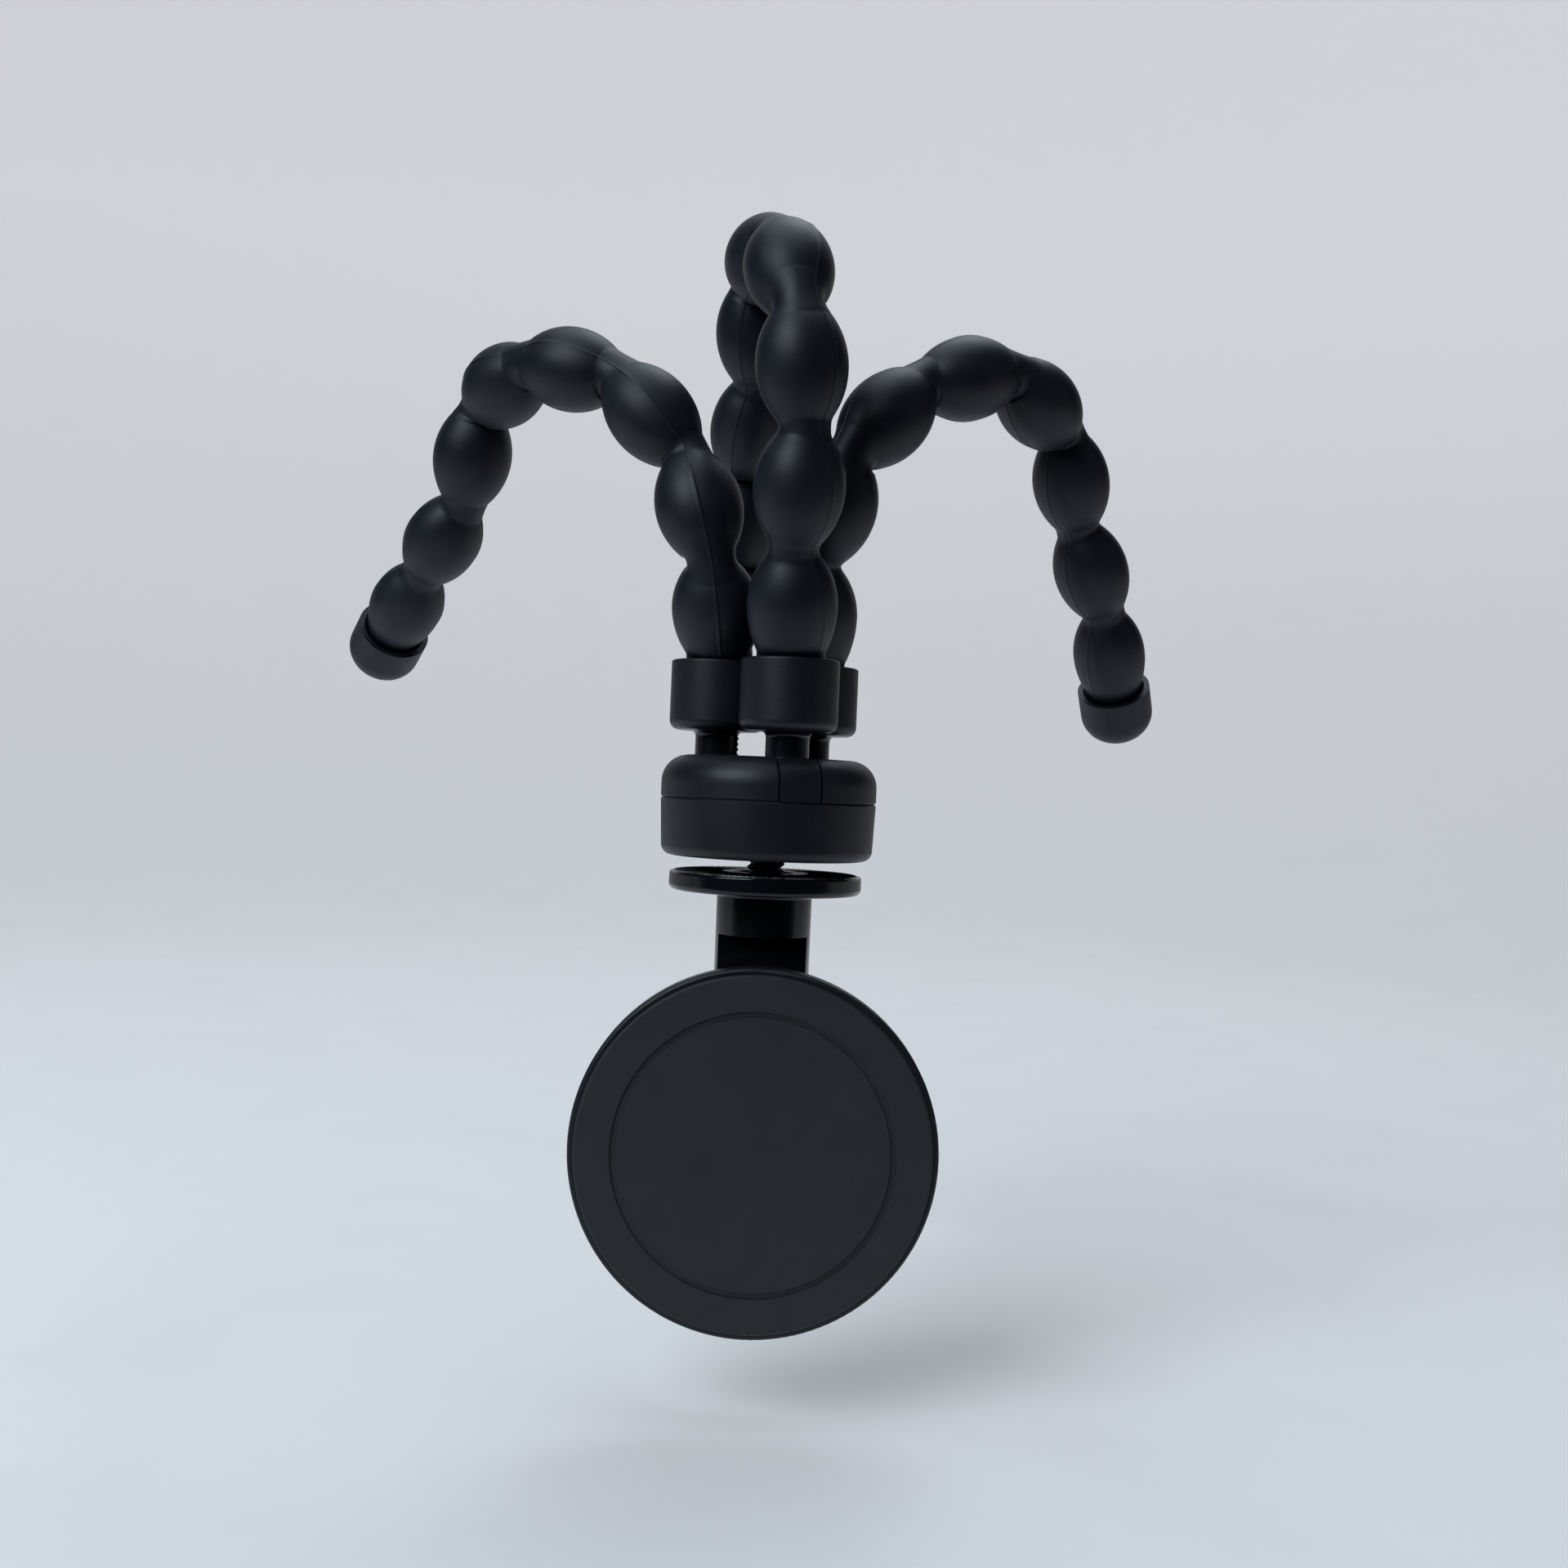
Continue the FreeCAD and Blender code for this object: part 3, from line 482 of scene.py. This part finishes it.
def straight_runs(rod, start):
    """Directions of a rod's straight runs, in order from the end that is nearest to start."""
    corners = [rod.matrix_world @ v.co / MM for v in rod.data.vertices]
    edges = [tuple(corners[v] for v in edge.vertices) for edge in rod.data.edges]
    edges = sorted(edges, key=lambda edge: (edge[0] - edge[1]).length)
    found = []
    for a, b in edges:
        middle = (a + b) / 2
        is_new = all((middle - other).length > SAME_RUN for other, _ in found)
        if (a - b).length > LONG_EDGE and is_new:
            found.append((middle, (b - a).normalized()))
    runs = []
    while found:
        nearest = min(found, key=lambda line: (line[0] - start).length)
        found.remove(nearest)
        middle, way = nearest
        runs.append(way if way.dot(middle - start) > 0 else -way)
        start = middle
    return runs


class Route:
    """A leg's necks, the runs before and after them, and what each bend takes of the runs."""

    def __init__(self, leg):
        angle = math.radians(LEG_TURNS[leg])
        self.root = HUB_PLACE + Vector((LEG_CIRCLE * math.sin(angle), -LEG_CIRCLE * math.cos(angle), 0))
        self.runs = straight_runs(nodes[f"{leg}_leg_core"], self.root)
        self.radii = [ROOT_BEND] + [NECK_BEND] * (len(self.runs) - 2)
        self.bends = [a.angle(b) for a, b in zip(self.runs, self.runs[1:])]
        self.taken = [r * math.tan(b / 2) for r, b in zip(self.radii, self.bends)] + [0.0]
        self.arcs = [r * b for r, b in zip(self.radii, self.bends)] + [0.0]
        self.necks = [self.root + Vector((0, 0, MOUTH_LEVEL + self.taken[0]))]
        for run in self.runs[1:]:
            self.necks.append(self.necks[-1] + run * PITCH)

    def bend(self, k, steps):
        """Points and directions round neck k."""
        before, after = self.runs[k], self.runs[k + 1]
        inward = (after - before * after.dot(before)).normalized()
        start = self.necks[k] - before * self.taken[k]
        radius = self.radii[k]
        centre = start + inward * radius
        for step in range(steps + 1):
            a = self.bends[k] * step / steps
            yield (centre - inward * radius * math.cos(a) + before * radius * math.sin(a),
                   before * math.cos(a) + inward * math.sin(a))


routes = {leg: Route(leg) for leg in LEG_TURNS}
for leg, route in routes.items():
    print(leg, "has", len(route.runs) - 1, "bubbles, tip at", [round(c, 1) for c in route.necks[-1]], "mm")

# %% [markdown]
# ## The bubbles' profile
#
# A bubble swells on one large arc and runs into its neck on a small one. Both arcs touch, so the outline has
# no kink. Given the crown's radius, the neck's radius and the small arc, geometry fixes the large arc. The
# narrowest place is half-way round each bend, so a bent neck is a smooth saddle.

# %% Radius along a bubble
CROWN_ROOT = 7.15
CROWN_TIP = 6.75
TIP_RADIUS = 4.6
NECK_ROUND = 2.5
END_ROUND = 1.0
PEG_RADIUS = 4.2
PEG_LENGTH = 3.6
PLUG_CLEAR = 0.1
ROOT_STEPS = 9
SADDLE_STEPS = 8
SWELL_STEPS = 14


def bubble_radius(along, half, crown, end, small):
    """The bubble's radius at a distance from its crown, on the side that is half long."""
    gap = end + small - crown
    large = (half**2 + gap**2 - small**2) / (2 * (crown - end))
    meet = half - half * small / (large + small)
    if along < meet:
        return crown - large + math.sqrt(large**2 - along**2)
    return end + small - math.sqrt(max(small**2 - (half - along)**2, 0))


def stations(route):
    """Points along a leg (place, direction, radius), and where in the list the first neck begins."""
    count = len(route.necks) - 1
    out = [(route.root + Vector((0, 0, SOCKET_FLOOR + PLUG_CLEAR)), route.runs[0], PLUG_RADIUS)]
    out += [(p, d, PLUG_RADIUS) for p, d in route.bend(0, ROOT_STEPS)]
    for k in range(count):
        first, last = k == 0, k == count - 1
        crown = CROWN_ROOT + (CROWN_TIP - CROWN_ROOT) * k / (count - 1)
        straight = (PITCH / 2 - route.taken[k], PITCH / 2 - route.taken[k + 1])
        curved = (0.0 if first else route.arcs[k] / 2, route.arcs[k + 1] / 2)
        ends = (PLUG_RADIUS if first else NECK_RADIUS, TIP_RADIUS if last else NECK_RADIUS)
        smalls = (END_ROUND if first else NECK_ROUND, END_ROUND if last else NECK_ROUND)
        middle = (route.necks[k] + route.necks[k + 1]) / 2
        run = route.runs[k + 1]
        sides = []
        for side in (0, 1):
            half = straight[side] + curved[side]
            sides.append(partial(bubble_radius, half=half, crown=crown, end=ends[side], small=smalls[side]))
        if not first:
            bent = list(route.bend(k, 2 * SADDLE_STEPS))[SADDLE_STEPS + 1:]
            for n, (place, way) in enumerate(bent, 1):
                along = straight[0] + curved[0] * (1 - n / SADDLE_STEPS)
                out.append((place, way, sides[0](along)))
        for step in range(1 - SWELL_STEPS, SWELL_STEPS + 1):
            side = int(step >= 0)
            along = straight[side] * math.sin(abs(step) / SWELL_STEPS * math.pi / 2)
            out.append((middle + run * math.copysign(along, step), run, sides[side](along)))
        if first:
            cut = len(out) - 1
        if not last:
            bent = list(route.bend(k + 1, 2 * SADDLE_STEPS))[1:SADDLE_STEPS + 1]
            for n, (place, way) in enumerate(bent, 1):
                along = straight[1] + curved[1] * n / SADDLE_STEPS
                out.append((place, way, sides[1](along)))
    tip, run = route.necks[-1], route.runs[-1]
    out += [(tip, run, PEG_RADIUS), (tip + run * PEG_LENGTH, run, PEG_RADIUS)]
    return out, cut


print("stations on a leg:", len(stations(routes["front"])[0]))

# %% [markdown]
# ## Sweeping rings along the leg
#
# The sleeve is moulded in two halves, and where they meet a hair-fine ridge runs the whole length on both
# sides. Rings of points are set along the route, each turned only as much as the route turns, so the ridge
# doesn't twist. The ring has extra points beside the ridge, which is a tenth of a millimetre high.
#
# The root bubble has to bend when the leg is swung out, and the rest moves as one. So the sleeve is two
# meshes that share the ring before the first neck. The rest is set on the leg's body, and the root stays where
# it is.

# %% Rings and sleeves
RING = 72
RIDGE_HEIGHT = 0.11
RIDGE_STEPS = [(-2.6, 0.0), (-1.3, 0.75), (0.0, 1.0), (1.3, 0.75), (2.6, 0.0)]
SEAM_FACING = {
    "front": Vector((0.72, -0.7, 0)),
    "right": Vector((-0.9, -0.45, 0)),
    "left": Vector((0.1, -1, 0)),
}
BLEND_MARGIN = 1.0


def ring_shape(ridge):
    """Angles round a ring with the ridge's share of its height at each."""
    shape = {}
    for k in range(RING):
        shape[360 * k / RING] = 0.0
    for seam in (0, 180):
        for offset, share in RIDGE_STEPS:
            shape[(seam + offset) % 360] = share * ridge
    return sorted(shape.items())


def sweep(path, facing, ridge):
    """Rows of points round a path of (place, direction, radius), turned no more than the path turns."""
    shape = ring_shape(ridge)
    across = facing.copy()
    before = path[0][1]
    rows = []
    for place, direction, radius in path:
        across.rotate(before.rotation_difference(direction))
        across = (across - direction * across.dot(direction)).normalized()
        side = direction.cross(across)
        before = direction
        row = []
        for angle, lift in shape:
            a = math.radians(angle)
            row.append((place + (across * math.cos(a) + side * math.sin(a)) * (radius + lift)) * MM)
        rows.append(row)
    return rows


def tube(name, rows, close_start, close_end):
    """A tube through rows of points."""
    width = len(rows[0])
    points = [p for row in rows for p in row]
    faces = ring_faces(len(rows), width)
    if close_start:
        faces.append(end_face(width, inward=True))
    if close_end:
        faces.append(end_face(width, (len(rows) - 1) * width))
    return mesh_object(name, points, faces)


def split_tube(name, rows, cut):
    """Two tubes that share row cut and shade as one."""
    whole = tube(name + "_whole", rows, True, True)
    normals = [v.normal.copy() for v in whole.data.vertices]
    width = len(rows[0])
    halves = [tube(name + "_root", rows[:cut + 1], True, False), tube(name + "_run", rows[cut:], False, True)]
    for half, start in zip(halves, (0, cut * width)):
        count = len(half.data.vertices)
        half.data.normals_split_custom_set_from_vertices(normals[start:start + count])
    bpy.data.objects.remove(whole)
    return halves


def bend_with(leg, root, run, node, material):
    """Give both pieces of a leg their material and hide the CAD node; set the run on the leg's body, and leave
    the root in place.
    """
    route = routes[leg]
    way = route.runs[1]
    start = (route.necks[0] + way * BLEND_MARGIN) * MM
    end = (route.necks[1] - way * (route.taken[1] + BLEND_MARGIN)) * MM
    for piece in (root, run):
        piece.data.materials.append(material)
        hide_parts(node)
    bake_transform(root)
    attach(run, f"{leg}_leg")


for leg, route in routes.items():
    path, cut = stations(route)
    rows = sweep(path, SEAM_FACING[leg], RIDGE_HEIGHT)
    root, run = split_tube(f"{leg}_leg_bubbles", rows, cut)
    bend_with(leg, root, run, f"{leg}_leg_sleeve", RUBBER)
    print(leg, "sleeve points:", len(root.data.vertices), "+", len(run.data.vertices))

# %% [markdown]
# The rod in a leg is a plain soft wire, out of sight. It follows the same route, so that it stays inside the
# sleeve when the leg bends.

# %% Rods inside the legs
ROD_BELOW_FLOOR = 4.95
ROD_SHORT_OF_TIP = 3.0
ROD_STEPS = 6
for leg, route in routes.items():
    path = [(route.root + Vector((0, 0, SOCKET_FLOOR - ROD_BELOW_FLOOR)), route.runs[0], ROD_RADIUS)]
    for k in range(len(route.necks) - 1):
        path += [(p, d, ROD_RADIUS) for p, d in route.bend(k, ROD_STEPS)]
        if k == 0:
            middle = (route.necks[0] + route.necks[1]) / 2
            path.append((middle, route.runs[1], ROD_RADIUS))
            cut = len(path)
    path.append((route.necks[-1] - route.runs[-1] * ROD_SHORT_OF_TIP, route.runs[-1], ROD_RADIUS))
    rows = sweep(path, SEAM_FACING[leg], 0.0)
    root, run = split_tube(f"{leg}_leg_rod", rows, cut)
    bend_with(leg, root, run, f"{leg}_leg_core", ALUMINIUM)
    print(leg, "rod points:", len(root.data.vertices) + len(run.data.vertices))

# %% [markdown]
# ## The quarter-inch screw
#
# Under the hub a little of the screw shows in the gap above the pad. Its thread has a pitch of 1.27 mm. A
# screw modifier could wind a profile, but a grid whose radius follows height and angle closes cleanly.

# %% Wind the thread
SCREW_RADIUS = 3.1
THREAD_DEPTH = 0.62
THREAD_PITCH = 1.27
THREAD_AROUND = 48
ROWS_PER_TURN = 12
ROOT_FLAT = 0.12
FLANK = 0.72
LEAD_IN = 1.2
HEAD_HEIGHT = 4.0
HEAD_FLATS = 11.1
HEAD_SIDES = 6
HEAD_TURN = math.radians(FIRST_LEG)
CHAMFER = 0.4
CHAMFER_SHARE = 0.94
low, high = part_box("hub_screw")
bottom, top = low.z / MM, high.z / MM
shoulder = top - HEAD_HEIGHT
rows_wanted = int((shoulder - bottom) / THREAD_PITCH * ROWS_PER_TURN)


def about_hub(radius, angle, height):
    """A mesh point at a radius and angle about the hub's axis."""
    x = HUB_PLACE.x + radius * math.cos(angle)
    y = HUB_PLACE.y + radius * math.sin(angle)
    return Vector((x, y, height)) * MM


def thread_radius(height, angle):
    turn = (height / THREAD_PITCH - angle / (2 * math.pi)) % 1.0
    crest = 1 - abs(2 * turn - 1)
    ease = min(1.0, (height - bottom) / LEAD_IN)
    return SCREW_RADIUS - THREAD_DEPTH * (1 - min(1.0, max(0.0, (crest - ROOT_FLAT) / FLANK)) * ease)


points = []
for r in range(rows_wanted + 1):
    height = bottom + (shoulder - bottom) * r / rows_wanted
    for k in range(THREAD_AROUND):
        a = 2 * math.pi * k / THREAD_AROUND
        points.append(about_hub(thread_radius(height, a), a, height))
faces = ring_faces(rows_wanted + 1, THREAD_AROUND)
faces.append(end_face(THREAD_AROUND, inward=True))
faces.append(end_face(THREAD_AROUND, rows_wanted * THREAD_AROUND))
head_start = len(points)
head_levels = [
    (shoulder, CHAMFER_SHARE),
    (shoulder + CHAMFER, 1),
    (top - CHAMFER, 1),
    (top, CHAMFER_SHARE),
]
for height, shrink in head_levels:
    for k in range(HEAD_SIDES):
        angle = HEAD_TURN + math.pi / 3 * k
        points.append(about_hub(HEAD_FLATS / math.sqrt(3) * shrink, angle, height))
faces += ring_faces(len(head_levels), HEAD_SIDES, head_start)
faces.append(end_face(HEAD_SIDES, head_start, inward=True))
faces.append(end_face(HEAD_SIDES, len(points) - HEAD_SIDES))
screw = mesh_object("threaded_screw", points, faces, smooth=False)
screw.data.materials.append(STEEL)
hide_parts("hub_screw")
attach(screw, "hub")
print("thread turns:", round((shoulder - bottom) / THREAD_PITCH, 1))

# %% [markdown]
# ## The ribbed pad
#
# The pad on the flange has fine radial teeth that bite into whatever is screwed down on it. Each tooth is a
# ridge between two valleys, highest at the rim.

# %% Cut the pad's teeth
TEETH = 90
TOOTH_SHAPE = (0.0, 0.5, 1.0, 0.5)
TOOTH_DEPTH = 0.28
PAD_INNER = 4.5
PAD_OUTER = 15.1
RIM_ROUND = 0.15
RIM_DROP = 0.3
ROUNDS = [(PAD_INNER, 0.0), (7.0, 0.0), (7.4, 1.0), (13.9, 1.0), (14.6, 0.7), (PAD_OUTER - RIM_ROUND, 0.2)]
low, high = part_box("grip_pad")
pad_low, pad_high = low.z / MM, high.z / MM
around = TEETH * len(TOOTH_SHAPE)
angles = [2 * math.pi * k / around for k in range(around)]
points = []
for radius, share in ROUNDS:
    for k, a in enumerate(angles):
        dip = TOOTH_SHAPE[k % len(TOOTH_SHAPE)] * TOOTH_DEPTH * share
        points.append(about_hub(radius, a, pad_high - dip))
for radius, height in ((PAD_OUTER, pad_high - RIM_DROP), (PAD_OUTER, pad_low), (PAD_INNER, pad_low)):
    points += [about_hub(radius, a, height) for a in angles]
faces = ring_faces(len(points) // around, around, closed=True, inward=True)
pad = mesh_object("ribbed_pad", points, faces, smooth=False)
pad.data.materials.append(GRIP)
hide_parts("grip_pad")
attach(pad, "mount")
print("pad teeth:", TEETH)

# %% [markdown]
# ## Flash on the left post
#
# Where the two halves of a mould meet, a little plastic can creep out. The left post kept such a ragged edge.
# It is a strip whose reach from the post changes with height, by the product of two sines out of step.

# %% Add the ragged edge
FLASH_FACING = math.radians(-22)
FLASH_STEPS = 22
FLASH_REACH = 0.34
FLASH_RAGGED = 0.22
FLASH_SWAY = 0.12
POST_RADIUS = 3.5
POST_BOTTOM = 7.2
BELOW_COLLAR = 0.6
FLASH_ROOT = POST_RADIUS - 0.4
ROOT_HALF = 0.5
EDGE_HALF = 0.16
left_root = routes["left"].root
post_low, post_high = HUB_PLACE.z + POST_BOTTOM, COLLAR_BOTTOM_Z / MM - BELOW_COLLAR
outward = Vector((math.cos(FLASH_FACING), math.sin(FLASH_FACING), 0))
sideways = Vector((-outward.y, outward.x, 0))
points = []
for step in range(FLASH_STEPS + 1):
    share = step / FLASH_STEPS
    ragged = math.sin(step * 1.9) * math.sin(step * 0.83 + 0.6)
    reach = POST_RADIUS + FLASH_REACH + FLASH_RAGGED * ragged
    foot = Vector((left_root.x, left_root.y, post_low + (post_high - post_low) * share))
    corners = [(FLASH_ROOT, -ROOT_HALF), (reach, -EDGE_HALF), (reach, EDGE_HALF), (FLASH_ROOT, ROOT_HALF)]
    for out, across in corners:
        points.append((foot + outward * out + sideways * (across + FLASH_SWAY * ragged)) * MM)
width = len(corners)
faces = ring_faces(FLASH_STEPS + 1, width)
faces += [end_face(width, inward=True), end_face(width, FLASH_STEPS * width)]
flash = mesh_object("left_post_flash", points, faces, smooth=False)
flash.data.materials.append(GLOSS)
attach(flash, "hub")
print("flash height in mm:", round(post_high - post_low, 2))
